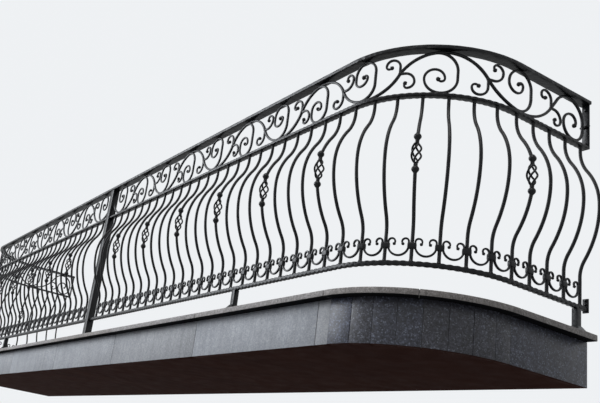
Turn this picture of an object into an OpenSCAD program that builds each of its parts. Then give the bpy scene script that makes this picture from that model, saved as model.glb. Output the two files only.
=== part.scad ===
// Balcony with a wrought iron railing, cantilevered from a wall.
// X runs along the wall, +Y into the wall, +Z up. Origin: middle of the slab's back face.

/* [Deck] */
// Width of the deck over the copings
deck_w = 5975; // [4000:25:8000]
// Depth of the deck from the wall to the coping's front edge
deck_d = 950; // [850:10:1400]
// Plan radius of the rounded corners, on the railing line
bend_r = 460; // [300:10:480]
// Thickness of the structural slab
slab_t = 165; // [120:5:260]
// Thickness of the coping and the floor tiles
coping_t = 25; // [20:1:40]
// Width of the coping stones
coping_w = 240; // [180:5:320]
// Overhang of the coping past the fascia
coping_over = 45; // [20:1:60]
// Length of one coping stone or fascia slab on the front
stone_l = 1000; // [700:10:1500]
// Thickness of the fascia slabs
fascia_t = 30; // [20:1:40]
// Strips of fascia round one corner
fascia_strips = 8; // [6:1:12]
// Width of the narrow slab that ends the front fascia
end_slab_w = 78; // [40:1:200]
// Thickness of the soffit lining
soffit_t = 14; // [8:1:25]
// Joint between two stones
stone_gap = 3; // [2:0.5:6]
// Length of a floor tile
tile_l = 600; // [400:10:900]

/* [Railing] */
// Distance from the coping's edge to the railing line
rail_in = 50; // [50:1:90]
// Target spacing of the balusters
bay_pitch = 100; // [85:1:120]
// Gap from the wall to the first baluster
end_gap = 40; // [30:1:80]
// Clear gap under the bottom rail
foot_gap = 97; // [60:1:130]
// Height of the balusters between bottom rail and mid rail
baluster_h = 686; // [560:1:830]
// Diameter of a baluster
baluster_d = 14; // [10:0.5:16]
// How far the belly stands out from the railing line
belly = 87; // [60:1:105]
// Height of the belly's fullest point above the bottom rail
belly_z = 405; // [330:1:430]
// Straight foot of a baluster
foot_z = 112; // [90:1:130]
// Clear height of the scroll frieze
frieze_h = 196; // [160:1:240]
// Thickness of a frieze bar, seen from the front
frieze_t = 12; // [7:0.5:14]
// Depth of a frieze bar, front to back
frieze_d = 12; // [8:0.5:16]
// Width of the handrail
handrail_w = 52; // [40:1:70]
// Thickness of the handrail
handrail_t = 17; // [12:0.5:25]
// Width of the mid rail
mid_w = 32; // [24:1:45]
// Thickness of the mid rail
mid_t = 13; // [8:0.5:20]
// Side of the square bottom rail
bottom_s = 18; // [14:0.5:25]
// Side of the centre post
post_s = 44; // [30:1:60]
// Side of a foot
foot_s = 25; // [18:1:35]

/* [Details] */
// Diameter of a basket at its fullest
basket_d = 46; // [38:1:60]
// Length of a basket between its knobs
basket_h = 118; // [90:1:150]
// Diameter of a basket's knob
knob_d = 30; // [18:0.5:34]
// Diameter of a basket wire
wire_d = 8; // [5:0.5:10]
// Thickness of a C scroll, seen from the front
scroll_t = 8; // [6:0.5:10]
// Depth of a C scroll, front to back
scroll_d = 10; // [8:0.5:14]
// Height of a C scroll's underside above the bottom rail
scroll_z = 18; // [8:1:30]
// Side of a foot's base plate
plate_s = 70; // [50:1:100]
// Thickness of the base plates and wall plates
plate_t = 6; // [4:0.5:10]

/* [Hidden] */
$fn = 40;
// Heights, from the middle of the slab
slab_z0 = -slab_t / 2;
slab_z1 = slab_t / 2;
deck_z = slab_z1 + coping_t;
bot_z0 = deck_z + foot_gap;
bot_z1 = bot_z0 + bottom_s;
mid_z0 = bot_z1 + baluster_h;
mid_z1 = mid_z0 + mid_t;
hand_z0 = mid_z1 + frieze_h;
hand_z1 = hand_z0 + handrail_t;
// Railing line in plan: return leg, quarter bend, front
front_l = deck_w - 2 * rail_in - 2 * bend_r;
ret_l = deck_d - rail_in - bend_r - end_gap;
bend_l = bend_r * PI / 2;
bend_x = front_l / 2;
bend_y = -end_gap - ret_l;
front_u = ret_l + bend_l;
half_u = front_u + front_l / 2;
// Bays on one half of the railing, a multiple of four
bays = 4 * round(half_u / bay_pitch / 4);
pitch = half_u / bays;
bend_bar = ceil(front_u / pitch);
// Fascia face and coping edge, from the railing line
coping_off = rail_in;
fascia_off = rail_in - coping_over;
core_off = fascia_off - fascia_t;
// Frieze: places where the vine crosses its middle line, counted from the wall
k = frieze_h / 196;
vine_u1 = half_u - post_s / 2;
cross_0 = 1.92 * pitch;
end_span = 3.54 * pitch;
cross_2 = cross_0 + 2 * end_span;
front_n = round((vine_u1 - cross_2) / (2.97 * pitch));
front_span = (vine_u1 - cross_2) / front_n;
vine_n = front_n + 2;
vine_rise = frieze_h / 2 - frieze_t / 2;

iron = [0.09, 0.09, 0.10];
stone = [0.55, 0.56, 0.58];
concrete = [0.62, 0.60, 0.56];
soffit = [0.22, 0.10, 0.08];

// Heading and place on the railing line, u from the first baluster at the right wall end
function bend_a(u) = min(max((u - ret_l) / bend_r, 0), PI / 2) * 180 / PI;
function path_x(u) = u > front_u ? bend_x - (u - front_u) : bend_x + bend_r * cos(bend_a(u));
function path_y(u) = u < ret_l ? -end_gap - u : bend_y - bend_r * sin(bend_a(u));

// Local frame on the railing line: x along it, y outward, z up
module at_path(u)
    translate([path_x(u), path_y(u), 0])
        rotate([0, 0, -90 - bend_a(u)])
            children();

// Rounded outline of the deck, out from the railing line by off
module deck_outline(off, back = 0) {
    r = bend_r + off;
    hull_w = front_l / 2;
    intersection() {
        union() {
            translate([-hull_w, bend_y - r])
                square([2 * hull_w, -bend_y + r - back]);
            translate([-hull_w - r, bend_y])
                square([2 * hull_w + 2 * r, -bend_y - back]);
            for (s = [-1, 1])
                translate([s * hull_w, bend_y])
                    circle(r, $fn = 96);
        }
        translate([-deck_w, -deck_d * 2 - back])
            square([2 * deck_w, deck_d * 2]);
    }
}

module slab_core()
    color(concrete)
        translate([0, 0, slab_z0])
            linear_extrude(slab_t)
                deck_outline(core_off);

module soffit_lining()
    color(soffit)
        translate([0, 0, slab_z0 - soffit_t])
            linear_extrude(soffit_t)
                deck_outline(core_off);

tile_off = coping_off - coping_w - stone_gap;
tile_n = ceil(2 * (front_l / 2 + bend_r + tile_off) / tile_l);

module floor_tiles()
    color(stone)
        for (i = [0 : tile_n - 1]) {
            w = 2 * (front_l / 2 + bend_r + tile_off) / tile_n;
            x = -front_l / 2 - bend_r - tile_off + i * w;
            translate([0, 0, slab_z1])
                linear_extrude(coping_t)
                    intersection() {
                        deck_outline(tile_off);
                        translate([x + stone_gap / 2, -deck_d])
                            square([w - stone_gap, deck_d]);
                    }
        }

stone_n = round(front_l / stone_l);

module coping_front()
    color(stone)
        for (i = [0 : stone_n - 1]) {
            w = front_l / stone_n;
            translate([-front_l / 2 + i * w + stone_gap / 2, -deck_d, slab_z1])
                cube([w - stone_gap, coping_w, coping_t]);
        }

// Stone ring sector round a corner, between two angles from the return leg
module corner_sector(r0, r1, a0, a1, z0, h, trim = 0)
    translate([bend_x, bend_y, z0])
        rotate([0, 0, -a1 + trim])
            rotate_extrude(angle = a1 - a0 - 2 * trim, $fn = 96)
                translate([r0, 0])
                    square([r1 - r0, h]);

module coping_end_right() {
    r1 = bend_r + coping_off;
    trim = stone_gap / 2 / r1 * 180 / PI;
    for (a = [0, 45])
        corner_sector(r1 - coping_w, r1, a, a + 45, slab_z1, coping_t, trim);
    translate([bend_x + r1 - coping_w, bend_y + stone_gap / 2, slab_z1])
        cube([coping_w, -bend_y - stone_gap / 2, coping_t]);
}

module coping_right()
    color(stone)
        coping_end_right();

module coping_left()
    color(stone)
        mirror([1, 0, 0])
            coping_end_right();

fascia_z0 = slab_z0 - soffit_t;
fascia_h = slab_z1 - fascia_z0;

module fascia_front()
    color(stone) {
        w = (front_l - 2 * end_slab_w) / stone_n;
        for (i = [0 : stone_n - 1])
            translate([-front_l / 2 + end_slab_w + i * w + stone_gap / 2, front_fascia_y, fascia_z0])
                cube([w - stone_gap, fascia_t, fascia_h]);
        for (s = [0, 1])
            mirror([s, 0, 0])
                translate([front_l / 2 - end_slab_w + stone_gap / 2, front_fascia_y, fascia_z0])
                    cube([end_slab_w - stone_gap, fascia_t, fascia_h]);
    }

front_fascia_y = bend_y - bend_r - fascia_off;
strip_lead = 2.3;

// Flat strips set as chords round the corner, the first one wider, then one slab on the return
module fascia_end_right() {
    step = 90 / fascia_strips;
    r1 = bend_r + fascia_off;
    r0 = r1 - fascia_t;
    for (i = [0 : fascia_strips - 1]) {
        a0 = i == 0 ? 0 : i * step + strip_lead;
        a1 = i == fascia_strips - 1 ? 90 : (i + 1) * step + strip_lead;
        h = (a1 - a0) / 2;
        translate([bend_x, bend_y, fascia_z0])
            rotate([0, 0, (a0 + a1) / 2 - 90])
                linear_extrude(fascia_h)
                    polygon([
                        [r0, -r0 * tan(h) + stone_gap / 4],
                        [r1, -r1 * tan(h) + stone_gap / 4],
                        [r1, r1 * tan(h) - stone_gap / 4],
                        [r0, r0 * tan(h) - stone_gap / 4]
                    ]);
    }
    translate([bend_x + r0, bend_y + stone_gap / 2, fascia_z0])
        cube([fascia_t, -bend_y - stone_gap / 2, fascia_h]);
}

module fascia_right()
    color(stone)
        fascia_end_right();

module fascia_left()
    color(stone)
        mirror([1, 0, 0])
            fascia_end_right();

// Rail of a rectangular section round the right end: return leg up to the wall plate, and bend
module rail_end(w, t, z0, back = plate_t) {
    translate([bend_x + bend_r - w / 2, bend_y, z0])
        cube([w, -bend_y - back, t]);
    translate([bend_x, bend_y, z0])
        rotate([0, 0, -90])
            rotate_extrude(angle = 90, $fn = 96)
                translate([bend_r - w / 2, 0])
                    square([w, t]);
}

module rail_front(w, t, z0, x0, x1)
    translate([x0, bend_y - bend_r - w / 2, z0])
        cube([x1 - x0, w, t]);

module handrail_front()
    color(iron)
        rail_front(handrail_w, handrail_t, hand_z0, -bend_x, bend_x);

module handrail_right_end()
    color(iron)
        rail_end(handrail_w, handrail_t, hand_z0, 0);

module handrail_left_end()
    color(iron)
        mirror([1, 0, 0])
            rail_end(handrail_w, handrail_t, hand_z0, 0);

module mid_rail_front_right()
    color(iron)
        rail_front(mid_w, mid_t, mid_z0, post_s / 2, bend_x);

module mid_rail_front_left()
    color(iron)
        rail_front(mid_w, mid_t, mid_z0, -bend_x, -post_s / 2);

module mid_rail_right_end()
    color(iron)
        rail_end(mid_w, mid_t, mid_z0);

module mid_rail_left_end()
    color(iron)
        mirror([1, 0, 0])
            rail_end(mid_w, mid_t, mid_z0);

module bottom_rail_front_right()
    color(iron)
        rail_front(bottom_s, bottom_s, bot_z0, post_s / 2, bend_x);

module bottom_rail_front_left()
    color(iron)
        rail_front(bottom_s, bottom_s, bot_z0, -bend_x, -post_s / 2);

module bottom_rail_right_end()
    color(iron)
        rail_end(bottom_s, bottom_s, bot_z0);

module bottom_rail_left_end()
    color(iron)
        mirror([1, 0, 0])
            rail_end(bottom_s, bottom_s, bot_z0);

// Belly of a baluster: straight foot, lower S, upper S, straight top.
// Each S is two tangent arcs that gain d outward over h
top_z = 22;
function s_angle(d, h) = 2 * atan(d / h);
function s_sum(d, h) = h / sin(s_angle(d, h));
low_h = belly_z - foot_z;
top_h = baluster_h - belly_z - top_z;
low_a = s_angle(belly, low_h);
top_a = s_angle(belly, top_h);
low_r1 = 0.24 * s_sum(belly, low_h);
low_r2 = 0.76 * s_sum(belly, low_h);
top_r1 = 0.38 * s_sum(belly, top_h);
top_r2 = 0.62 * s_sum(belly, top_h);

// Arc of a round bar in the local y-z plane, stopped short of both ends by a knuckle's cover
module yz_arc(c, r, a0, a1, d) {
    e = 0.3 / r * 180 / PI;
    translate([0, c[0], c[1]])
        rotate([90, 0, 90])
            rotate([0, 0, a0 + e])
                rotate_extrude(angle = a1 - a0 - 2 * e)
                    translate([r, 0])
                        circle(d = d, $fn = 24);
}

// Knuckle where two runs of the bar meet, a hair fuller than the bar
module knuckle(y, z, d)
    translate([0, y, z])
        sphere(d = d + 0.8, $fn = 24);

module baluster() {
    z0 = bot_z1;
    zb = z0 + belly_z;
    zt = mid_z0 - top_z;
    d = baluster_d;
    translate([0, 0, z0])
        cylinder(h = foot_z - 0.3, d = d, $fn = 24);
    knuckle(0, z0 + foot_z, d);
    yz_arc([low_r1, z0 + foot_z], low_r1, 180 - low_a, 180, d);
    knuckle(low_r1 * (1 - cos(low_a)), z0 + foot_z + low_r1 * sin(low_a), d);
    yz_arc([belly - low_r2, zb], low_r2, -low_a, 0, d);
    knuckle(belly, zb, d);
    yz_arc([belly - top_r2, zb], top_r2, 0, top_a, d);
    knuckle(top_r1 * (1 - cos(top_a)), zt - top_r1 * sin(top_a), d);
    yz_arc([top_r1, zt], top_r1, 180, 180 + top_a, d);
    knuckle(0, zt, d);
    translate([0, 0, zt + 0.3])
        cylinder(h = top_z - 0.3, d = d, $fn = 24);
}

module plain_bars(i0, i1)
    for (i = [i0 : i1])
        if (i % 4 != 0 || i == 0)
            at_path(i * pitch)
                baluster();

module balusters_front_right()
    color(iron)
        plain_bars(bend_bar, bays - 1);

module balusters_front_left()
    color(iron)
        mirror([1, 0, 0])
            plain_bars(bend_bar, bays - 1);

module balusters_right_end()
    color(iron)
        plain_bars(0, bend_bar - 1);

module balusters_left_end()
    color(iron)
        mirror([1, 0, 0])
            plain_bars(0, bend_bar - 1);

// Basket: two knobs on the bar, a neck on each and four bowed wires between the necks
basket_y = belly - 6;
knob_h = 0.86 * knob_d;
knob_z = basket_h / 2 + knob_h / 3;
neck_d = baluster_d + 3;
cage_z = basket_h / 3;

module knob()
    rotate_extrude($fn = 32)
        polygon([
            [0, -knob_h / 2],
            [knob_d * 0.31, -knob_h / 2],
            [knob_d / 2, -knob_h * 0.12],
            [knob_d / 2, knob_h * 0.12],
            [knob_d * 0.31, knob_h / 2],
            [0, knob_h / 2]
        ]);

module basket() {
    reach = cage_z + 3;
    bow = basket_d / 2 - wire_d / 2;
    r = (reach * reach + bow * bow) / (2 * bow);
    half = asin(reach / r);
    for (s = [0, 1])
        mirror([0, 0, s]) {
            translate([0, 0, knob_z])
                knob();
            translate([0, 0, cage_z - 3])
                cylinder(h = knob_z - cage_z, d = neck_d, $fn = 24);
        }
    for (a = [0 : 90 : 270])
        rotate([0, 0, a])
            translate([0, bow - r, 0])
                rotate([90, 0, 90])
                    rotate([0, 0, -half])
                        rotate_extrude(angle = 2 * half)
                            translate([r, 0])
                                circle(d = wire_d, $fn = 16);
}

// Bar in two lengths that end inside the knobs, and the basket between them
module basket_baluster() {
    z0 = bot_z1;
    zb = z0 + belly_z;
    zt = mid_z0 - top_z;
    d = baluster_d;
    translate([0, 0, z0])
        cylinder(h = foot_z - 0.3, d = d, $fn = 24);
    knuckle(0, z0 + foot_z, d);
    yz_arc([low_r1, z0 + foot_z], low_r1, 180 - low_a, 180, d);
    knuckle(low_r1 * (1 - cos(low_a)), z0 + foot_z + low_r1 * sin(low_a), d);
    yz_arc([belly - low_r2, zb], low_r2, -low_a, -asin(knob_z / low_r2), d);
    yz_arc([belly - top_r2, zb], top_r2, asin(knob_z / top_r2), top_a, d);
    knuckle(top_r1 * (1 - cos(top_a)), zt - top_r1 * sin(top_a), d);
    yz_arc([top_r1, zt], top_r1, 180, 180 + top_a, d);
    knuckle(0, zt, d);
    translate([0, 0, zt + 0.3])
        cylinder(h = top_z - 0.3, d = d, $fn = 24);
    translate([0, basket_y, zb])
        basket();
}

module basket_half()
    for (i = [4 : 4 : bays - 4])
        at_path(i * pitch)
            basket_baluster();

module basket_balusters_right()
    color(iron)
        basket_half();

module basket_balusters_left()
    color(iron)
        mirror([1, 0, 0])
            basket_half();

// Arc of a square-edged bar in the local x-z plane, stopped short of both ends by cut
module xz_arc(c, r, a0, a1, t, d, cut = 0.3) {
    e = cut / r * 180 / PI;
    translate([c[0], 0, c[1]])
        rotate([90, 0, 0])
            rotate([0, 0, min(a0, a1) + e])
                rotate_extrude(angle = abs(a1 - a0) - 2 * e)
                    translate([r - t / 2, -d / 2])
                        square([t, d]);
}

// Boss where two runs of a bar meet, a hair fuller than the bar
module boss(x, z, t, d)
    translate([x, 0, z])
        rotate([90, 0, 0])
            cylinder(h = d + 0.6, d = t + 0.8, center = true, $fn = 24);

module xz_line(p0, p1, t, d) {
    v = p1 - p0;
    translate([p0[0], 0, p0[1]])
        rotate([0, -atan2(v[1], v[0]), 0])
            translate([0, -d / 2, -t / 2])
                cube([norm(v), d, t]);
}

module blob(p, r, d)
    translate([p[0], 0, p[1]])
        rotate([90, 0, 0])
            cylinder(h = d, r = r, center = true, $fn = 24);

function cross_u(i) = i < 3 ? cross_0 + i * end_span : cross_2 + (i - 2) * front_span;
function vine_c(i) = (cross_u(i) + cross_u(i + 1)) / 2;
function vine_span(i) = cross_u(i + 1) - cross_u(i);
function vine_a(i) = 2 * atan(2 * vine_rise / vine_span(i));
function vine_r(i) = vine_span(i) / 2 / sin(vine_a(i));

// Spiral over a trough: stem radius and angle on the vine, loop radius, straight after the loop
end_spiral = [80 * k, 12, 65 * k, 0];
front_spiral = [66 * k, 16, 54 * k, 18 * k];

// Standing spiral, x along the line from the trough's middle, z from the mid rail's top
module spiral(vr, f) {
    t = frieze_t - 0.8;
    d = frieze_d - 1;
    sr = f[0];
    lr = f[2];
    c = [(vr - sr) * sin(f[1]), frieze_t / 2 + vr - (vr - sr) * cos(f[1])];
    x0 = c[0] - sr;
    x1 = x0 + 2 * lr;
    z0 = frieze_h - frieze_t / 2 - lr;
    z1 = z0 - f[3];
    r3 = 0.62 * lr;
    r5 = 0.2 * lr;
    x5 = x1 - 2 * r3 + r5;
    xz_arc(c, sr, 180, 270 + f[1], t, d);
    boss(x0, c[1], t, d);
    xz_line([x0, c[1] + 0.3], [x0, z0 - 0.3], t, d);
    boss(x0, z0, t, d);
    xz_arc([x0 + lr, z0], lr, 0, 180, t, d);
    boss(x1, z0, t, d);
    if (f[3] > 1) {
        xz_line([x1, z0 - 0.3], [x1, z1 + 0.3], t, d);
        boss(x1, z1, t, d);
    }
    xz_arc([x1 - r3, z1], r3, 180, 360, t, d);
    boss(x1 - 2 * r3, z1, t, d);
    xz_arc([x5, z1], r5, 0, 180, t, d);
    blob([x5 + r5 - 2, z1 - 3], t * 0.85, d + 2);
}

// Tendril off a crossing: length l forward along x, then a curl to +z of three radii
module tendril(l, r1, r2, r3) {
    t = frieze_t * 0.9 - 0.4;
    d = frieze_d - 2;
    xz_line([0, 0], [l - 0.3, 0], t, d);
    boss(l, 0, t, d);
    xz_arc([l, r1], r1, -90, 0, t, d);
    boss(l + r1, r1, t, d);
    xz_arc([l + r1 - r2, r1], r2, 0, 90, t, d);
    boss(l + r1 - r2, r1 + r2, t, d);
    xz_arc([l + r1 - r2, r1 + r2 - r3], r3, 90, 250, t, d);
    blob([l + r1 - r2, r1 + r2 - 2 * r3 + t * 0.5], t * 0.85, d + 2);
}

drop = [33, 36, 25, 14];
runner = [21, 40, 27, 13];

// Crossing on the rising side: one tendril drops, the other runs back
module crossing(g) {
    boss(0, 0, frieze_t + 2, frieze_d);
    rotate([0, 90, 0])
        tendril(drop[0] * g, drop[1] * g, drop[2] * g, drop[3] * g);
    mirror([1, 0, 0])
        tendril(runner[0] * g, runner[1] * g, runner[2] * g, runner[3] * g);
}

// Turned over about the frieze's middle line
module turned(over)
    if (over)
        translate([0, 0, 2 * mid_z1 + frieze_h])
            mirror([0, 0, 1])
                children();
    else
        children();

// Half wave of the vine, or a part of it, cut into short pieces where the line bends
module vine_piece(c, r, up, x0, x1) {
    zc = up ? frieze_h - frieze_t / 2 - r : frieze_t / 2 + r;
    a0 = up ? 90 - asin((x0 - c) / r) : 270 + asin((x0 - c) / r);
    a1 = up ? 90 - asin((x1 - c) / r) : 270 + asin((x1 - c) / r);
    n = x0 < front_u - 1 ? ceil((x1 - x0) / 50) : 1;
    for (i = [0 : n - 1]) {
        b0 = a0 + (a1 - a0) * i / n;
        b1 = a0 + (a1 - a0) * (i + 1) / n;
        um = c + r * (cos(b0) + cos(b1)) / 2;
        at_path(um)
            translate([0, 0, mid_z1])
                xz_arc([c - um, zc], r, b0, b1, frieze_t, frieze_d);
        if (i > 0)
            at_path(c + r * cos(b0))
                translate([0, 0, mid_z1])
                    boss(0, zc + r * sin(b0), frieze_t, frieze_d);
    }
}

// Vine between two places; the last half wave runs into the post
module vine(u0, u1)
    for (i = [0 : vine_n - 1]) {
        x0 = max(u0, cross_u(i));
        x1 = min(u1, cross_u(i + 1));
        if (x1 - x0 > 2)
            vine_piece(vine_c(i), vine_r(i), i % 2 == 1, x0, i < vine_n - 1 ? x1 : x1 + 5);
    }

// Spirals and tendrils that stand between two places
module growth(u0, u1)
    for (i = [0 : vine_n - 1]) {
        if (vine_c(i) >= u0 && vine_c(i) < u1)
            at_path(vine_c(i))
                turned(i % 2 == 1)
                    translate([0, 0, mid_z1])
                        spiral(vine_r(i), i < 2 ? end_spiral : front_spiral);
        if (cross_u(i) >= u0 && cross_u(i) < u1)
            at_path(cross_u(i))
                turned(i % 2 == 0)
                    translate([0, 0, mid_z1 + frieze_h / 2])
                        crossing(i == 1 ? 1.12 * k : k);
    }

// Wall end of the vine: up to the handrail, down beside the wall and round into a spiral
loop_radii = [62, 50, 30, 17];

module wall_loop() {
    t = frieze_t;
    d = frieze_d;
    a = vine_a(0);
    zm = frieze_h / 2;
    way = [-cos(a), sin(a)];
    c = [cross_0 - vine_rise / sin(a), zm];
    p = c + vine_rise * [sin(a), cos(a)];
    r = loop_radii * k;
    x0 = c[0] - vine_rise;
    z0 = t / 2 + r[0];
    x1 = x0 + 2 * r[0];
    x2 = x1 - r[1];
    z2 = z0 + r[1];
    x3 = x2 - r[2];
    z3 = z2 - r[2];
    xz_line([cross_0, zm] + 0.3 * way, p - 0.3 * way, t, d);
    boss(p[0], p[1], t, d);
    xz_arc(c, vine_rise, 90 - a, 180, t, d);
    boss(x0, zm, t, d);
    xz_line([x0, zm - 0.3], [x0, z0 + 0.3], t, d);
    boss(x0, z0, t, d);
    xz_arc([x0 + r[0], z0], r[0], 180, 360, t, d);
    boss(x1, z0, t, d);
    xz_arc([x2, z0], r[1], 0, 90, t, d);
    boss(x2, z2, t, d);
    xz_arc([x2, z3], r[2], 90, 180, t, d);
    boss(x3, z3, t, d);
    xz_arc([x3 + r[3], z3], r[3], 180, 270, t, d);
    blob([x3 + r[3], z3 - r[3]], t * 0.85, d + 2);
}

module frieze_end() {
    at_path(0)
        translate([0, 0, mid_z1])
            wall_loop();
    vine(0, front_u);
    growth(0, front_u);
}

// Front half of the frieze, trimmed to the post
module frieze_front()
    difference() {
        union() {
            vine(front_u, vine_u1);
            growth(front_u, vine_u1);
        }
        translate([-post_s / 2, bend_y - bend_r - post_s, mid_z0])
            cube([post_s, 2 * post_s, hand_z1 - mid_z0]);
    }

module frieze_front_right()
    color(iron)
        frieze_front();

module frieze_front_left()
    color(iron)
        mirror([1, 0, 0])
            frieze_front();

module frieze_right_end()
    color(iron)
        frieze_end();

module frieze_left_end()
    color(iron)
        mirror([1, 0, 0])
            frieze_end();

// C scroll on its back between two balusters, its ends curled shut against itself
module c_scroll(w) {
    t = scroll_t;
    d = scroll_d;
    r = w / 2 - t / 2;
    rc = r * 0.3;
    zc = scroll_zc;
    zt = zc + r * 0.31;
    xz_arc([0, zc], r, 180, 360, t, d);
    for (s = [0, 1])
        mirror([s, 0, 0]) {
            boss(r, zc, t, d);
            xz_line([r, zc + 0.3], [r, zt - 0.3], t, d);
            boss(r, zt, t, d);
            xz_arc([r - rc, zt], rc, 0, 275, t, d);
            blob([r - rc + 2, zt - rc + 1], t * 0.85, d + 2);
        }
}

// Collar that ties two scrolls to the baluster between them
collar_h = 18;

module collar(w)
    difference() {
        translate([-w / 2, -baluster_d / 2 - 2, scroll_zc - collar_h / 2])
            cube([w, baluster_d + 4, collar_h]);
        translate([0, 0, bot_z1])
            cylinder(h = foot_z, d = baluster_d, $fn = 24);
    }

scroll_w = 2 * bend_r * sin(pitch / 2 / bend_r * 180 / PI) - baluster_d - 1.4;
scroll_zc = bot_z1 + scroll_z + scroll_w / 2;
collar_w = baluster_d + 2 * scroll_t + 4;

module c_row(i0, i1, c0, c1) {
    for (i = [i0 : i1])
        at_path((i + 0.5) * pitch)
            c_scroll(scroll_w);
    for (i = [c0 : c1])
        at_path(i * pitch)
            collar(collar_w);
}

module c_scrolls_front_right()
    color(iron)
        c_row(bend_bar, bays - 2, bend_bar + 1, bays - 1);

module c_scrolls_front_left()
    color(iron)
        mirror([1, 0, 0])
            c_row(bend_bar, bays - 2, bend_bar + 1, bays - 1);

module c_scrolls_right_end()
    color(iron)
        c_row(0, bend_bar - 1, 1, bend_bar);

module c_scrolls_left_end()
    color(iron)
        mirror([1, 0, 0])
            c_row(0, bend_bar - 1, 1, bend_bar);

module centre_post()
    color(iron) {
        translate([-post_s / 2, bend_y - bend_r - post_s / 2, deck_z])
            cube([post_s, post_s, hand_z0 - deck_z]);
        translate([-plate_s / 2, bend_y - bend_r - post_s / 2, deck_z])
            cube([plate_s, plate_s, plate_t]);
    }

// Foot under the bottom rail on a base plate, with a pyramid shoe round its lower end
shoe_h = 26;

module shoe_side()
    translate([0, plate_s / 2, 0])
        rotate([90, 0, 0])
            linear_extrude(plate_s)
                polygon([
                    [-plate_s / 2 + 3, 0],
                    [plate_s / 2 - 3, 0],
                    [foot_s / 2 + 1.5, shoe_h],
                    [-foot_s / 2 - 1.5, shoe_h]
                ]);

module foot()
    translate([0, 0, deck_z]) {
        translate([-foot_s / 2, -foot_s / 2, 0])
            cube([foot_s, foot_s, foot_gap]);
        translate([-plate_s / 2, -plate_s / 2, 0])
            cube([plate_s, plate_s, plate_t]);
        intersection() {
            shoe_side();
            rotate([0, 0, 90])
                shoe_side();
        }
    }

foot_u = (round(bays / 2) + 0.5) * pitch;

module front_feet()
    color(iron)
        for (s = [0, 1])
            mirror([s, 0, 0])
                at_path(foot_u)
                    foot();

module end_feet()
    color(iron)
        for (s = [0, 1])
            mirror([s, 0, 0])
                at_path(0.2 * pitch)
                    foot();

// Strap on the wall from the mid rail up to the handrail
strap_w = 34;

module wall_straps()
    color(iron)
        for (s = [0, 1])
            mirror([s, 0, 0])
                translate([bend_x + bend_r - strap_w / 2, -plate_t, mid_z0])
                    cube([strap_w, plate_t, hand_z0 - mid_z0]);

// Flange on the wall at the bottom rail's end, set a little above the rail's middle
flange_w = 26;
flange_h = 58;
flange_z = bot_z0 + bottom_s / 2 + 14;

module wall_flanges()
    color(iron)
        for (s = [0, 1])
            mirror([s, 0, 0])
                translate([bend_x + bend_r - flange_w / 2, -plate_t, flange_z - flange_h / 2])
                    cube([flange_w, plate_t, flange_h]);

slab_core();
soffit_lining();
floor_tiles();
coping_front();
coping_right();
coping_left();
fascia_front();
fascia_right();
fascia_left();
handrail_front();
handrail_right_end();
handrail_left_end();
mid_rail_front_right();
mid_rail_front_left();
mid_rail_right_end();
mid_rail_left_end();
bottom_rail_front_right();
bottom_rail_front_left();
bottom_rail_right_end();
bottom_rail_left_end();
balusters_front_right();
balusters_front_left();
balusters_right_end();
balusters_left_end();
basket_balusters_right();
basket_balusters_left();
frieze_front_right();
frieze_front_left();
frieze_right_end();
frieze_left_end();
c_scrolls_front_right();
c_scrolls_front_left();
c_scrolls_right_end();
c_scrolls_left_end();
centre_post();
front_feet();
end_feet();
wall_straps();
wall_flanges();
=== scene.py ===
"""Looks of a balcony with a wrought iron railing: hammered iron, granite edge and painted soffit."""

import math

import bmesh
import bpy
import numpy as np
from mathutils import Matrix, Vector


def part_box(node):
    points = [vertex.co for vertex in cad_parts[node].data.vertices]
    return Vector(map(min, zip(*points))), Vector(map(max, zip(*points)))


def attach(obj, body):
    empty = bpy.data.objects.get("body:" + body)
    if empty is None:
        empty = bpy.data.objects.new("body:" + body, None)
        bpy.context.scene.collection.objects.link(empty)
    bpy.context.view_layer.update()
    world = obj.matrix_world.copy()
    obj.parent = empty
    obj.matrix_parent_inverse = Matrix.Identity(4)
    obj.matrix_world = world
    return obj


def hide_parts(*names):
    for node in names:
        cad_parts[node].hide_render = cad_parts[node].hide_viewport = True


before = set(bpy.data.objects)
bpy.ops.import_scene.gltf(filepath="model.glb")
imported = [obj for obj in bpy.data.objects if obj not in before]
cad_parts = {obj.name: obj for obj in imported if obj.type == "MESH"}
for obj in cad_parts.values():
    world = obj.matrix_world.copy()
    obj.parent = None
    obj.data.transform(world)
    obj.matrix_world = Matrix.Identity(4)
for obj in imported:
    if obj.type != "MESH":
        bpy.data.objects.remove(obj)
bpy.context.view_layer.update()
MM = 0.001


# Sizes, read from the frame's nodes where they show there

hand_low, hand_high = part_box("handrail_front")
end_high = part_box("handrail_right_end")[1]
mid_low, mid_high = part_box("mid_rail_front_right")
bottom_low, bottom_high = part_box("bottom_rail_front_right")
deck_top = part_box("floor_tiles")[1].z

HANDRAIL_W = hand_high.y - hand_low.y
MID_W = mid_high.y - mid_low.y
BOTTOM_W = bottom_high.y - bottom_low.y
POST_S = 2 * mid_low.x
HAND_Z0, HAND_Z1 = hand_low.z, hand_high.z
MID_Z0, MID_Z1 = mid_low.z, mid_high.z
BOTTOM_Z0, BOTTOM_Z1 = bottom_low.z, bottom_high.z
PLATE_T = -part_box("mid_rail_right_end")[1].y
END_GAP = 40 * MM
BAY_PITCH = 100 * MM
BAR_D = 14 * MM
SAME_PLACE = 1e-6  # points closer than this, in metres, are one

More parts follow.
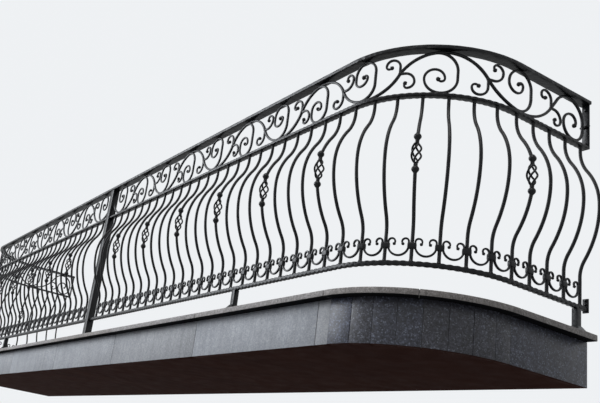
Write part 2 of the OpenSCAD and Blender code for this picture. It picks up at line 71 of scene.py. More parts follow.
# The railing's line in plan: return leg, quarter bend, front
BEND_X = hand_high.x
LINE_Y = (hand_low.y + hand_high.y) / 2
BEND_R = end_high.x - HANDRAIL_W / 2 - BEND_X
BEND_Y = LINE_Y + BEND_R
RETURN_L = -BEND_Y - END_GAP
FRONT_U = RETURN_L + BEND_R * math.pi / 2
HALF_U = FRONT_U + BEND_X
BAYS = 4 * round(HALF_U / BAY_PITCH / 4)
PITCH = HALF_U / BAYS
BEND_BAR = math.ceil(FRONT_U / PITCH)
WALL_U = PLATE_T - END_GAP
POST_U = HALF_U - POST_S / 2


# Mesh helpers

class Shape:
    """Vertices and faces gathered for one piece."""

    def __init__(self):
        self.points, self.faces, self.count = [], [], 0

    def tube(self, rings):
        """Closed skin over rings[i, j], point j of ring i, capped at both ends."""
        n, m = rings.shape[:2]
        first = self.count + np.arange(n - 1)[:, None] * m
        j = np.arange(m)[None, :]
        here, there = first + j, first + (j + 1) % m
        self.faces += np.stack([here, there, there + m, here + m], -1).reshape(-1, 4).tolist()
        last = self.count + (n - 1) * m
        self.faces.append(list(range(self.count + m - 1, self.count - 1, -1)))
        self.faces.append(list(range(last, last + m)))
        self.points.append(rings.reshape(-1, 3))
        self.count += n * m

    def piece(self, name, material, nodes=(), slot=None, mirrored=False):
        """Makes the object, mirrored in X if asked, in place of CAD nodes."""
        points = np.concatenate(self.points)
        if mirrored:
            points = points * [-1, 1, 1]
        mesh = bpy.data.meshes.new(name)
        mesh.from_pydata(points.tolist(), [], self.faces)
        work = bmesh.new()
        work.from_mesh(mesh)
        bmesh.ops.recalc_face_normals(work, faces=work.faces)
        work.to_mesh(mesh)
        work.free()
        return finish_piece(name, mesh, material, nodes)


def finish_piece(name, mesh, material, nodes, sharp=40):
    """Links a smooth piece that rides on the root. Edges over sharp degrees stay hard."""
    mesh.shade_smooth()
    mesh.set_sharp_from_angle(angle=math.radians(sharp))
    mesh.materials.clear()
    mesh.materials.append(material)
    piece = bpy.data.objects.new(name, mesh)
    bpy.context.scene.collection.objects.link(piece)
    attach(piece, "root")
    if nodes:
        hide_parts(*nodes)
    return piece


def line_angle(u):
    """How far the railing's line has turned at u, in radians."""
    return np.clip((u - RETURN_L) / BEND_R, 0, math.pi / 2)


def on_line(u, out, z):
    """World points at distance u along the railing's line, out from it, at height z."""
    u, out, z = np.broadcast_arrays(u, out, z)
    a = line_angle(u)
    x = np.where(u > FRONT_U, BEND_X - (u - FRONT_U), BEND_X + BEND_R * np.cos(a))
    y = np.where(u < RETURN_L, -END_GAP - u, BEND_Y - BEND_R * np.sin(a))
    return np.stack([x + out * np.cos(a), y - out * np.sin(a), z], -1)


def at_bar(u, along, out, z):
    """World points in the square frame of the line at u."""
    along, out, z = np.broadcast_arrays(along, out, z)
    a = line_angle(u)
    base = on_line(u, 0.0, 0.0)
    x = base[0] - along * np.sin(a) + out * np.cos(a)
    y = base[1] - along * np.cos(a) - out * np.sin(a)
    return np.stack([x, y, z], -1)


def arc(cx, cy, r, a0, a1, step):
    """Points of a plane arc, angles in degrees."""
    n = max(4, math.ceil(r * math.radians(abs(a1 - a0)) / step))
    a = np.radians(np.linspace(a0, a1, n + 1))
    return np.stack([cx + r * np.cos(a), cy + r * np.sin(a)], -1)


def straight(p, q, step):
    """Points of a straight run from p to q."""
    n = max(1, math.ceil(math.dist(p, q) / step))
    t = np.linspace(0, 1, n + 1)[:, None]
    return np.array(p) * (1 - t) + np.array(q) * t


def chain(*runs):
    """Runs joined end to start, without their doubled points."""
    points = np.concatenate(runs)
    keep = np.r_[True, np.linalg.norm(np.diff(points, axis=0), axis=1) > SAME_PLACE]
    return points[keep]


def lengths(points):
    """Distance of each point along the curve from its first."""
    return np.r_[0, np.cumsum(np.linalg.norm(np.diff(points, axis=0), axis=1))]


def around(count, offset=0.0):
    """Angles of evenly spaced points round a section."""
    return 2 * math.pi * (np.arange(count) + offset) / count


def squared(wave, power):
    """A sine or cosine pushed outward by a power under 1, which squares a round section."""
    return np.sign(wave) * np.abs(wave) ** power


def bar_rings(points, half_plane, half_across, power, sides):
    """Rings of a bar on a plane curve: plane x, plane y, across. A power over 2 squares the section."""
    tangent = np.gradient(points, lengths(points), axis=0)
    tangent /= np.linalg.norm(tangent, axis=1)[:, None]
    normal = np.stack([-tangent[:, 1], tangent[:, 0]], -1)
    t = around(sides, 0.5)
    bend = 2 / np.broadcast_to(np.asarray(power, float), len(points))[:, None]
    a = np.broadcast_to(half_plane, len(points))[:, None] * squared(np.cos(t), bend)
    b = np.broadcast_to(half_across, len(points))[:, None] * squared(np.sin(t), bend)
    x = points[:, :1] + normal[:, :1] * a
    y = points[:, 1:] + normal[:, 1:] * a
    return np.stack([x, y, b], -1)


NOISE_CELLS = 4096
NOISE_START = 2000


def noise_1d(seed, cell):
    """A smooth random function of one length, between -1 and 1."""
    values = np.random.default_rng(seed).uniform(-1, 1, NOISE_CELLS)

    def at(u):
        t = np.asarray(u) / cell + NOISE_START
        i = np.floor(t).astype(int)
        f = t - i
        f = f * f * (3 - 2 * f)
        return values[i % NOISE_CELLS] * (1 - f) + values[(i + 1) % NOISE_CELLS] * f
    return at


# Materials

def new_material(name):
    """An empty Principled material, with its tree, its shader and the object's coordinates."""
    material = bpy.data.materials.new(name)
    material.use_nodes = True
    tree = material.node_tree
    tree.nodes.clear()
    out = tree.nodes.new("ShaderNodeOutputMaterial")
    shader = tree.nodes.new("ShaderNodeBsdfPrincipled")
    tree.links.new(shader.outputs[0], out.inputs[0])
    where = tree.nodes.new("ShaderNodeTexCoord").outputs["Object"]
    return material, tree, shader, where


def noise(tree, where, scale, detail, rough=0.55, stretch=None):
    """Cloudy value between 0 and 1. The stretch scales each axis by itself."""
    node = tree.nodes.new("ShaderNodeTexNoise")
    node.inputs["Scale"].default_value = scale
    node.inputs["Detail"].default_value = detail
    node.inputs["Roughness"].default_value = rough
    if stretch:
        mapping = tree.nodes.new("ShaderNodeMapping")
        mapping.inputs["Scale"].default_value = stretch
        tree.links.new(where, mapping.inputs[0])
        where = mapping.outputs[0]
    tree.links.new(where, node.inputs["Vector"])
    return node.outputs["Fac"]


def cells(tree, where, scale, feature="F1", output="Distance", smooth=None):
    """Voronoi cells, for grains of stone and hammer dents."""
    node = tree.nodes.new("ShaderNodeTexVoronoi")
    node.feature = feature
    node.inputs["Scale"].default_value = scale
    if smooth is not None:
        node.inputs["Smoothness"].default_value = smooth
    tree.links.new(where, node.inputs["Vector"])
    return node.outputs[output]


def ramp(tree, value, stops, constant=False):
    """Maps a value through (position, colour or grey) stops."""
    node = tree.nodes.new("ShaderNodeValToRGB")
    node.color_ramp.interpolation = "CONSTANT" if constant else "LINEAR"
    steps = node.color_ramp.elements
    while len(steps) < len(stops):
        steps.new(0.5)
    for step, (at, colour) in zip(steps, stops):
        step.position = at
        step.color = (*colour, 1) if isinstance(colour, tuple) else (colour, colour, colour, 1)
    tree.links.new(value, node.inputs[0])
    return node.outputs[0]


def mix(tree, factor, a, b, kind="MIX"):
    """Blends two colours, each a socket or a value."""
    node = tree.nodes.new("ShaderNodeMix")
    node.data_type = "RGBA"
    node.blend_type = kind
    for socket, value in ((node.inputs[0], factor), (node.inputs[6], a), (node.inputs[7], b)):
        if isinstance(value, bpy.types.NodeSocket):
            tree.links.new(value, socket)
        else:
            socket.default_value = (*value, 1) if isinstance(value, tuple) else value
    return node.outputs[2]


def bump(tree, shader, heights):
    """Stacks (height, metres) bumps on the shader's normal."""
    normal = None
    for height, distance in heights:
        node = tree.nodes.new("ShaderNodeBump")
        node.inputs["Strength"].default_value = 1.0
        node.inputs["Distance"].default_value = distance
        tree.links.new(height, node.inputs["Height"])
        if normal:
            tree.links.new(normal, node.inputs["Normal"])
        normal = node.outputs[0]
    tree.links.new(normal, shader.inputs["Normal"])


IRON_DARK, IRON_WORN = (0.0035, 0.0038, 0.0048), (0.0075, 0.008, 0.0095)
IRON_DUST = (0.022, 0.021, 0.020)
IRON_GLOSS, STONE_GLOSS = 0.2, 0.4
PEEL = 0.03 * MM
GRAIN_SCALE, COARSE_SHARE = 230, 0.37


def black_iron(name, dent, dent_scale):
    """Satin black paint over forged iron: hammer dents, orange peel and slightly greyed patches."""
    material, tree, shader, where = new_material(name)
    patches = noise(tree, where, 9, 4)
    peel = noise(tree, where, 420, 2)
    dents = cells(tree, where, dent_scale, "SMOOTH_F1", smooth=0.6)
    colour = ramp(tree, patches, [(0.3, IRON_DARK), (0.7, IRON_WORN)])
    dust = ramp(tree, noise(tree, where, 55, 5, 0.7), [(0.62, 0.0), (0.85, 0.3)])
    rough = ramp(tree, noise(tree, where, 28, 4), [(0.3, 0.28), (0.75, 0.42)])
    tree.links.new(mix(tree, dust, colour, IRON_DUST), shader.inputs["Base Color"])
    tree.links.new(rough, shader.inputs["Roughness"])
    shader.inputs["Specular IOR Level"].default_value = IRON_GLOSS
    bump(tree, shader, [(dents, dent), (peel, PEEL)])
    return material


def channels(tree, colour):
    """The three channels of a colour, each a random value for its grain."""
    node = tree.nodes.new("ShaderNodeSeparateColor")
    tree.links.new(colour, node.inputs[0])
    return node.outputs


def granite(name, grains, rough, mottle, streak=0.0, tones=None, relief=0.06 * MM):
    """Speckled granite: four kinds of grain, cloudy tone, vertical streaks and a tone for each stone."""
    material, tree, shader, where = new_material(name)
    dark, middle, light, fleck = grains
    fine = channels(tree, cells(tree, where, GRAIN_SCALE, output="Color"))
    coarse = channels(tree, cells(tree, where, GRAIN_SCALE * COARSE_SHARE, output="Color"))
    small = ramp(tree, fine[0], [(0.0, dark), (0.36, middle), (0.74, light), (0.94, fleck)], True)
    large = ramp(tree, coarse[1], [(0.0, dark), (0.5, middle), (0.86, light)], True)
    colour = mix(tree, 0.35, small, large)
    cloud = ramp(tree, noise(tree, where, 6, 4), [(0.3, 1.0 - mottle), (0.7, 1.0)])
    colour = mix(tree, 1.0, colour, cloud, "MULTIPLY")
    if streak:
        runs = noise(tree, where, 1, 5, 0.6, (34, 34, 2.2))
        runs = ramp(tree, runs, [(0.35, 1.0 - streak), (0.6, 1.0), (0.75, 1.0 + streak * 0.4)])
        colour = mix(tree, 1.0, colour, runs, "MULTIPLY")
    if tones:
        stone = tree.nodes.new("ShaderNodeNewGeometry").outputs["Random Per Island"]
        steps = [(i / (len(tones) - 1), tone) for i, tone in enumerate(tones)]
        colour = mix(tree, 1.0, colour, ramp(tree, stone, steps), "MULTIPLY")
    tree.links.new(colour, shader.inputs["Base Color"])
    shader.inputs["Specular IOR Level"].default_value = STONE_GLOSS
    polish = ramp(tree, noise(tree, where, 18, 4), [(0.3, rough), (0.75, rough + 0.15)])
    tree.links.new(polish, shader.inputs["Roughness"])
    bump(tree, shader, [(noise(tree, where, 90, 4), relief * 3), (fine[1], relief)])
    return material


def plain_coat(name, low, high, rough, grain, relief, gloss=0.3):
    """Painted plaster or cast concrete: blotchy colour over a sandy surface."""
    material, tree, shader, where = new_material(name)
    tone = ramp(tree, noise(tree, where, 3.5, 6, 0.6), [(0.3, low), (0.72, high)])
    specks = ramp(tree, noise(tree, where, grain, 3), [(0.25, 0.8), (0.6, 1.0)])
    tree.links.new(mix(tree, 1.0, tone, specks, "MULTIPLY"), shader.inputs["Base Color"])
    uneven = ramp(tree, noise(tree, where, 12, 4), [(0.3, rough - 0.08), (0.7, rough + 0.08)])
    tree.links.new(uneven, shader.inputs["Roughness"])
    shader.inputs["Specular IOR Level"].default_value = gloss
    bump(tree, shader, [(noise(tree, where, grain, 4), relief), (noise(tree, where, 7, 3), relief * 5)])
    return material


IRON = black_iron("black_iron", 0.6 * MM, 70)
IRON_SMOOTH = black_iron("black_iron_bars", 0.25 * MM, 110)

# Grains from dark to fleck, and the tones that single stones multiply them by
FRONT_GRAINS = [(0.25, 0.26, 0.285), (0.31, 0.32, 0.345), (0.37, 0.38, 0.40), (0.43, 0.44, 0.46)]
STRIP_GRAINS = [(0.024, 0.024, 0.030), (0.060, 0.062, 0.078), (0.13, 0.14, 0.18), (0.30, 0.33, 0.40)]
EDGE_GRAINS = [(0.17, 0.155, 0.15), (0.27, 0.25, 0.24), (0.37, 0.345, 0.33), (0.48, 0.45, 0.44)]
PAVING_GRAINS = [(0.20, 0.19, 0.18), (0.33, 0.31, 0.30), (0.46, 0.43, 0.41), (0.60, 0.57, 0.55)]
FRONT_TONES = [(0.91, 0.90, 0.89), (1.0, 1.0, 1.0), (1.06, 1.08, 1.12)]
STRIP_TONES = [(0.90, 0.86, 0.84), (1.02, 0.99, 0.97), (0.88, 0.93, 1.08), (1.12, 1.20, 1.42)]
FRONT_STONE = granite("granite_fascia", FRONT_GRAINS, rough=0.48, mottle=0.16, streak=0.14, tones=FRONT_TONES)
STRIP_STONE = granite("granite_strips", STRIP_GRAINS, rough=0.36, mottle=0.45, tones=STRIP_TONES)
EDGE_STONE = granite("granite_coping", EDGE_GRAINS, rough=0.6, mottle=0.25, tones=FRONT_TONES)
PAVING = granite("granite_paving", PAVING_GRAINS, rough=0.55, mottle=0.18, relief=0.12 * MM)

# Coats: darker and lighter tone, roughness, scale of the grain, relief and gloss
MATT = 0.03  # gloss of the dull undersides
SOFFIT = plain_coat("soffit_paint", (0.032, 0.011, 0.008), (0.044, 0.016, 0.011), 0.85, 160, 0.12 * MM, MATT)
# Near-black coat for the copings' downward faces: painted shade that stands in for the shadow under the
# overhang, not a colour of the stone
UNDER_SHADE_COAT = plain_coat("coping_underside_painted_shade", (0.004, 0.004, 0.005), (0.009, 0.009, 0.010), 0.9, 160, 0.12 * MM, MATT)
MORTAR = plain_coat("mortar", (0.16, 0.155, 0.15), (0.24, 0.23, 0.22), 0.9, 220, 0.3 * MM)
CONCRETE = plain_coat("concrete", (0.30, 0.29, 0.27), (0.42, 0.40, 0.37), 0.85, 140, 0.6 * MM)


# Rails

NOTCH = 28 * MM
NOTCH_SPREAD = 0.08
NOTCH_POWER = 1.4
RAIL_STEP = 3.5 * MM
HANDRAIL_STEP = 5 * MM


def edge_dents(u, phase, seed):
    """Depth share of the hammer marks that repeat along one edge."""
    wobble = noise_1d(seed, 60 * MM)(u) * NOTCH_SPREAD
    t = u / NOTCH + phase + wobble
    return (0.5 + 0.5 * np.cos(2 * math.pi * t)) ** NOTCH_POWER


def rail_rings(u, half_w, z0, z1, corner, dent, seed):
    """Chamfered bar along the line, its four edges hammered. Marks of neighbouring edges alternate."""
    ring = []
    for k, (side, top) in enumerate(((1, 1), (-1, 1), (-1, -1), (1, -1))):
        c = corner + dent * edge_dents(u, 0.5 * (k % 2), seed + k)
        z_flat = z1 if top > 0 else z0
        out_face, z_face = np.full_like(u, side * half_w), z_flat - top * c
        out_mid, z_mid = side * (half_w - 0.3 * c), z_flat - top * 0.3 * c
        out_top, z_top = side * (half_w - c), np.full_like(u, z_flat)
        three = [(out_face, z_face), (out_mid, z_mid), (out_top, z_top)]
        ring += three if k % 2 == 0 else three[::-1]
    out = np.stack([p[0] for p in ring], 1)
    z = np.stack([p[1] for p in ring], 1)
    return on_line(u[:, None], out, z)


def rail(name, node, u0, u1, size, mirrored):
    shape = Shape()
    u = np.linspace(u0, u1, math.ceil((u1 - u0) / RAIL_STEP) + 1)
    shape.tube(rail_rings(u, *size))
    shape.piece(name, IRON, [node], "black_iron", mirrored)


# Handrail's section: places across it, as shares of the half width, and how far each falls off
HAND_ACROSS = np.array([-1, -0.94, -0.7, -0.35, 0, 0.35, 0.7, 0.94, 1])
HAND_ROUND = np.array([1, 0.25, 0.03, 0, 0, 0, 0.03, 0.25, 1]) * 3.2 * MM
HAND_EDGES = (0, len(HAND_ACROSS) - 1)
HAND_BITE = 2.2 * MM
HAND_DENT = 0.25 * MM


def handrail_rings(u):
    """Broad flat bar with softened edges, dented all over by the hammer."""
    across = HAND_ACROSS * HANDRAIL_W / 2
    rings_out, rings_z = [], []
    for top in (1, -1):
        face = HAND_Z1 if top > 0 else HAND_Z0
        for i in range(len(across))[::top]:
            edge = i in HAND_EDGES
            dent = HAND_DENT * (1 + noise_1d(40 + i + 20 * (top > 0), 17 * MM)(u))
            bite = (0.5 + 0.5 * noise_1d(90 + i, 13 * MM)(u)) * HAND_BITE if edge else 0
            rings_z.append(face - top * (HAND_ROUND[i] + dent * (1.6 if edge else 1)))
            rings_out.append(np.full_like(u, across[i]) - np.sign(across[i]) * bite)
    return on_line(u[:, None], np.stack(rings_out, 1), np.stack(rings_z, 1))


def handrail(name, node, u0, u1, mirrored=False):
    shape = Shape()
    u = np.linspace(u0, u1, math.ceil((u1 - u0) / HANDRAIL_STEP) + 1)
    shape.tube(handrail_rings(u))
    shape.piece(name, IRON, [node], "black_iron", mirrored)


# Half width, underside, top, chamfer, depth of the notches and seed
mid_size = (MID_W / 2, MID_Z0, MID_Z1, 0.8 * MM, 3.6 * MM, 3)
bottom_size = (BOTTOM_W / 2, BOTTOM_Z0, BOTTOM_Z1, 1.0 * MM, 6.0 * MM, 11)
for side, flip in (("right", False), ("left", True)):
    handrail(f"handrail_{side}_end_hammered", f"handrail_{side}_end", -END_GAP, FRONT_U, flip)
    for kind, size in (("mid_rail", mid_size), ("bottom_rail", bottom_size)):
        rail(f"{kind}_{side}_end_hammered", f"{kind}_{side}_end", WALL_U, FRONT_U, size, flip)
        rail(f"{kind}_front_{side}_hammered", f"{kind}_front_{side}", FRONT_U, POST_U, size, flip)
handrail("handrail_front_hammered", "handrail_front", FRONT_U, FRONT_U + 2 * BEND_X)


# Balusters

FOOT_Z = 112 * MM
BELLY = 87 * MM
BELLY_Z = 405 * MM
TOP_Z = 22 * MM
BAR_H = MID_Z0 - BOTTOM_Z1
LOW_H = BELLY_Z - FOOT_Z
HIGH_H = BAR_H - BELLY_Z - TOP_Z
LOW_A = math.degrees(2 * math.atan(BELLY / LOW_H))
HIGH_A = math.degrees(2 * math.atan(BELLY / HIGH_H))
LOW_SUM = LOW_H / math.sin(math.radians(LOW_A))
HIGH_SUM = HIGH_H / math.sin(math.radians(HIGH_A))
LOW_R1, LOW_R2 = 0.24 * LOW_SUM, 0.76 * LOW_SUM
HIGH_R1, HIGH_R2 = 0.38 * HIGH_SUM, 0.62 * HIGH_SUM
BAR_STEP = 9 * MM
BAR_SIDES = 14
BAR_UNEVEN = 0.02
WELD_OUT, WELD_HIGH = 2.2 * MM, 5 * MM


def baluster_curve():
    """The bar's centre line: outward, then height from the bottom rail's top."""
    step = BAR_STEP
    return chain(
        straight((0, 0), (0, FOOT_Z), step),
        arc(LOW_R1, FOOT_Z, LOW_R1, 180, 180 - LOW_A, step),
        arc(BELLY - LOW_R2, BELLY_Z, LOW_R2, -LOW_A, 0, step),
        arc(BELLY - HIGH_R2, BELLY_Z, HIGH_R2, 0, HIGH_A, step),
        arc(HIGH_R1, BAR_H - TOP_Z, HIGH_R1, 180 + HIGH_A, 180, step),
        straight((0, BAR_H - TOP_Z), (0, BAR_H), step),
    )


def add_bar(shape, u, curve, seed):
    """One round bar, a little uneven from the hammer, with a weld at an end that meets a rail."""
    s = lengths(curve)
    radius = BAR_D / 2 * (1 + BAR_UNEVEN * noise_1d(seed, 30 * MM)(s))
    for z_end in (0, BAR_H):
        near = np.abs(curve[:, 1] - z_end)
        radius = radius + WELD_OUT * np.clip(1 - near / WELD_HIGH, 0, 1)
    rings = bar_rings(curve, radius, radius, 2.0, BAR_SIDES)
    shape.tube(at_bar(u, rings[..., 2], rings[..., 0], BOTTOM_Z1 + rings[..., 1]))


def weld_ready(curve):
    """Closer points at both ends, where the weld swells."""
    low, high = curve[0], curve[-1]
    near = np.array([1.5, 3, 5]) * MM
    start = [(low[0], low[1] + d) for d in near] if low[1] == 0 else []
    end = [(high[0], high[1] - d) for d in near[::-1]] if abs(high[1] - BAR_H) < SAME_PLACE else []
    return np.array([tuple(low)] + start + [tuple(p) for p in curve[1:-1]] + end + [tuple(high)])


def balusters(name, node, i0, i1, mirrored):
    """The plain bars: every fourth one, but the wall's, is a basket baluster."""
    shape = Shape()
    curve = weld_ready(baluster_curve())
    for i in range(i0, i1 + 1):
        if i % 4 or i == 0:
            add_bar(shape, i * PITCH, curve, 200 + i)
    shape.piece(name, IRON_SMOOTH, [node], "black_iron", mirrored)


BASKET_D = 46 * MM
BASKET_H = 118 * MM
KNOB_D = 30 * MM
KNOB_H = 0.86 * KNOB_D
WIRE_D = 8 * MM
CAGE_Z = BASKET_H / 3
NECK_R = (BAR_D + 3 * MM) / 2
BASKET_OUT = BELLY - 6 * MM
KNOB_DZ = BASKET_H / 2 + KNOB_H / 3
KNOB_HEIGHTS = np.array([-0.56, -0.50, -0.42, -0.26, -0.13, 0, 0.13, 0.26, 0.42, 0.50, 0.56]) * KNOB_H
KNOB_RADII = np.array([0.24, 0.28, 0.33, 0.435, 0.485, 0.5, 0.485, 0.435, 0.33, 0.28, 0.24]) * KNOB_D
CAGE_TWIST = math.radians(300)
WIRE_END = KNOB_DZ - 6 * MM


def add_knob(shape, u, z):
    """Forged knob, a rounded double cone that closes on the bar."""
    t = around(20)
    along, out = KNOB_RADII[:, None] * np.cos(t), KNOB_RADII[:, None] * np.sin(t)
    shape.tube(at_bar(u, along, BASKET_OUT + out, z + KNOB_HEIGHTS[:, None]))


def cage_bow(height):
    """Distance of a wire's centre from the basket's axis: a rope at the necks, a bulge between them."""
    rope = NECK_R - WIRE_D / 2
    swell = np.clip(1 - (height / (CAGE_Z + 2 * MM)) ** 2, 0, 1)
    return rope + (BASKET_D / 2 - WIRE_D / 2 - rope) * swell ** 0.75


def add_basket(shape, u, z):
    """Four wires twisted as a rope at each knob and bowed out into a cage between."""
    height = np.linspace(-1, 1, 56) * WIRE_END
    bow = cage_bow(height)
    turn = CAGE_TWIST * height / (2 * KNOB_DZ)
    for k in range(4):
        a = turn + k * math.pi / 2 + math.pi / 4
        centre = np.stack([bow * np.cos(a), bow * np.sin(a), height], -1)
        tangent = np.gradient(centre, axis=0)
        tangent /= np.linalg.norm(tangent, axis=1)[:, None]
        radial = np.stack([np.cos(a), np.sin(a), 0 * a], -1)
        radial -= tangent * np.sum(radial * tangent, axis=1)[:, None]
        radial /= np.linalg.norm(radial, axis=1)[:, None]
        side = np.cross(tangent, radial)
        w = around(10)
        round_off = radial[:, None] * np.cos(w)[:, None] + side[:, None] * np.sin(w)[:, None]
        ring = centre[:, None] + (WIRE_D / 2) * round_off
        shape.tube(at_bar(u, ring[..., 0], BASKET_OUT + ring[..., 1], z + ring[..., 2]))
    for s in (-1, 1):
        add_knob(shape, u, z + s * KNOB_DZ)


def basket_balusters(name, node, mirrored):
    shape = Shape()
    curve = baluster_curve()
    low = weld_ready(curve[curve[:, 1] < BELLY_Z - KNOB_DZ])
    high = weld_ready(curve[curve[:, 1] > BELLY_Z + KNOB_DZ])
    for i in range(4, BAYS - 3, 4):
        for part in (low, high):
            add_bar(shape, i * PITCH, part, 300 + i)
        add_basket(shape, i * PITCH, BOTTOM_Z1 + BELLY_Z)
    shape.piece(name, IRON_SMOOTH, [node], "black_iron", mirrored)


for side, flip in (("right", False), ("left", True)):
    balusters(f"balusters_{side}_end_bars", f"balusters_{side}_end", 0, BEND_BAR - 1, flip)
    balusters(f"balusters_front_{side}_bars", f"balusters_front_{side}", BEND_BAR, BAYS - 1, flip)
    basket_balusters(f"basket_balusters_{side}_twisted", f"basket_balusters_{side}", flip)


# Frieze

FRIEZE_H = HAND_Z0 - MID_Z1
FRIEZE_T = 12 * MM
FRIEZE_D = 12 * MM
SCALE = FRIEZE_H / (196 * MM)  # the scrolls' sizes are for a frieze 196 mm high
RISE = FRIEZE_H / 2 - FRIEZE_T / 2
SCROLL_STEP = 4 * MM

# Where the vine crosses its middle line: two long half waves from the wall, then even ones to the post
CROSS_0 = 1.92 * PITCH
END_SPAN = 3.54 * PITCH
CROSS_2 = CROSS_0 + 2 * END_SPAN
FRONT_N = round((POST_U - CROSS_2) / (2.97 * PITCH))
CROSSINGS = [CROSS_0, CROSS_0 + END_SPAN]
CROSSINGS += [CROSS_2 + i * (POST_U - CROSS_2) / FRONT_N for i in range(FRONT_N + 1)]
SPANS = np.diff(CROSSINGS)
SLOPES = 2 * np.arctan(2 * RISE / SPANS)
VINE_R = SPANS / 2 / np.sin(SLOPES)

# Spirals: stem radius, tilt, loop radius and drop. Tendrils: straight length and three radii
END_SPIRAL = (80, 12, 65, 0)
FRONT_SPIRAL = (66, 16, 54, 18)
DROP = (33, 36, 25, 14)
RUNNER = (21, 40, 27, 13)
WALL_LOOP = (62, 50, 30, 17)
TENDRIL_T = 10.6 * MM
SECTION_POWER, BALL_POWER = 3.4, 2.2
BALL = 0.84


def vine_height(u):
    """Height of the running vine's centre line over the mid rail, arc by arc."""
    i = np.clip(np.searchsorted(CROSSINGS, u, side="right") - 1, 0, len(SPANS) - 1)
    r = VINE_R[i]
    d = u - np.take(CROSSINGS, i) - SPANS[i] / 2
    drop = r - np.sqrt(r ** 2 - d ** 2)
    return np.where(i % 2 == 1, FRIEZE_H - FRIEZE_T / 2 - drop, FRIEZE_T / 2 + drop)


def spiral_curve(vine_r, stem_r, tilt, loop_r, drop):
    """Standing spiral over a trough of the vine, from its stem to its eye."""
    stem_r, loop_r, drop = (v * MM * SCALE for v in (stem_r, loop_r, drop))
    turn = math.radians(tilt)
    lean = vine_r - stem_r
    stem = (lean * math.sin(turn), FRIEZE_T / 2 + vine_r - lean * math.cos(turn))
    left, top = stem[0] - stem_r, FRIEZE_H - FRIEZE_T / 2 - loop_r
    right, low = left + 2 * loop_r, top - drop
    inner, eye = 0.62 * loop_r, 0.2 * loop_r
    step = SCROLL_STEP
    return chain(
        arc(*stem, stem_r, 270 + tilt, 180, step), straight((left, stem[1]), (left, top), step),
        arc(left + loop_r, top, loop_r, 180, 0, step), straight((right, top), (right, low), step),
        arc(right - inner, low, inner, 360, 180, step),
        arc(right - 2 * inner + eye, low, eye, 180, -30, step * 0.7),
    )


def tendril_curve(ahead, r1, r2, r3):
    """Branch off a crossing: forward along x, then curling up and back."""
    ahead, r1, r2, r3 = (v * MM * SCALE for v in (ahead, r1, r2, r3))
    x2, step = ahead + r1 - r2, SCROLL_STEP
    return chain(
        straight((0, 0), (ahead, 0), step), arc(ahead, r1, r1, -90, 0, step),
        arc(x2, r1, r2, 0, 90, step), arc(x2, r1 + r2 - r3, r3, 90, 265, step * 0.7),
    )


def wall_loop_curve():
    """Vine's wall end: up to the handrail, down beside the wall and round into a spiral."""
    a = SLOPES[0]
    start, middle = CROSSINGS[0], FRIEZE_H / 2
    centre = start - RISE / math.sin(a)
    r = [v * MM * SCALE for v in WALL_LOOP]
    left, low = centre - RISE, FRIEZE_T / 2 + r[0]
    right = left + 2 * r[0]
    x2, z2 = right - r[1], low + r[1]
    x3, z3 = x2 - r[2], z2 - r[2]
    touch = (centre + RISE * math.sin(a), middle + RISE * math.cos(a))
    step = SCROLL_STEP
    return chain(
        straight((start, middle), touch, step), arc(centre, middle, RISE, 90 - math.degrees(a), 180, step),
        straight((left, middle), (left, low), step), arc(left + r[0], low, r[0], 180, 360, step),
        arc(x2, low, r[1], 0, 90, step), arc(x2, z3, r[2], 90, 180, step),
        arc(x3 + r[3], z3, r[3], 180, 280, step * 0.7),
    )


def snub(curve, thick, deep, taper, ball):
    """Half sizes along a scroll: tapering, then swelling to a rolled ball at its end."""
    s = lengths(curve)
    total = s[-1]
    r = ball * thick
    slim = 1 - (1 - taper) * (s / total) ** 2
    a, b = thick / 2 * slim, deep / 2 * slim
    inside = s - (total - 2 * r)
    swell = np.sqrt(np.clip(1 - ((inside - r) / r) ** 2, 0, 1)) * r
    a, b = np.maximum(a, swell), np.maximum(b, swell)
    tip = np.sqrt(np.clip(1 - (np.clip(inside - r, 0, r) / r) ** 2, 0.02, 1))
    power = np.where(inside > 0, BALL_POWER, SECTION_POWER)
    return a * tip, b * tip, power


def with_tip(curve, thick, ball):
    """Closer points near the end, so the ball is round."""
    s = lengths(curve)
    r = ball * thick
    keep = s < s[-1] - 2 * r - 1 * MM
    fine = s[-1] - r + r * np.sin(np.linspace(-math.pi / 2, math.pi / 2 * 0.96, 10))
    x, y = np.interp(fine, s, curve[:, 0]), np.interp(fine, s, curve[:, 1])
    return np.concatenate([curve[keep], np.stack([x, y], -1)])


def add_scroll(shape, curve, u0, place, thick, deep, taper):
    """One tapering scroll whose plane curve is placed on the frieze's surface."""
    curve = with_tip(curve, thick, BALL)
    a, b, power = snub(curve, thick, deep, taper, BALL)
    rings = bar_rings(curve, a, b, power, 12)
    x, z = place(rings[..., 0], rings[..., 1])
    shape.tube(on_line(u0 + x, rings[..., 2], MID_Z1 + z))


def flipped(over):
    """Height over the mid rail, turned upside down where the growth hangs."""
    return (lambda z: FRIEZE_H - z) if over else (lambda z: z)


def add_growth(shape, i, u0, u1):
    """Pair of tendrils at crossing i and the spiral of the half wave after it."""
    x0, c = CROSSINGS[i], CROSSINGS[i] + SPANS[i] / 2
    half = FRIEZE_H / 2
    if u0 <= c < u1:
        height = flipped(i % 2 == 1)
        curve = spiral_curve(VINE_R[i], *(END_SPIRAL if i < 2 else FRONT_SPIRAL))
        add_scroll(shape, curve, c, lambda x, z: (x, height(z)), FRIEZE_T - 0.6 * MM, FRIEZE_D - MM, 0.80)
    if u0 <= x0 < u1:
        height = flipped(i % 2 == 0)
        grow = 1.12 if i == 1 else 1.0
        deep = FRIEZE_D - 2 * MM
        drop, runner = (tendril_curve(*(v * grow for v in sizes)) for sizes in (DROP, RUNNER))
        add_scroll(shape, drop, x0, lambda x, z: (z, height(half - x)), TENDRIL_T, deep, 0.85)
        add_scroll(shape, runner, x0, lambda x, z: (-x, height(half + z)), TENDRIL_T, deep, 0.85)
        add_ring_boss(shape, x0, MID_Z1 + half)


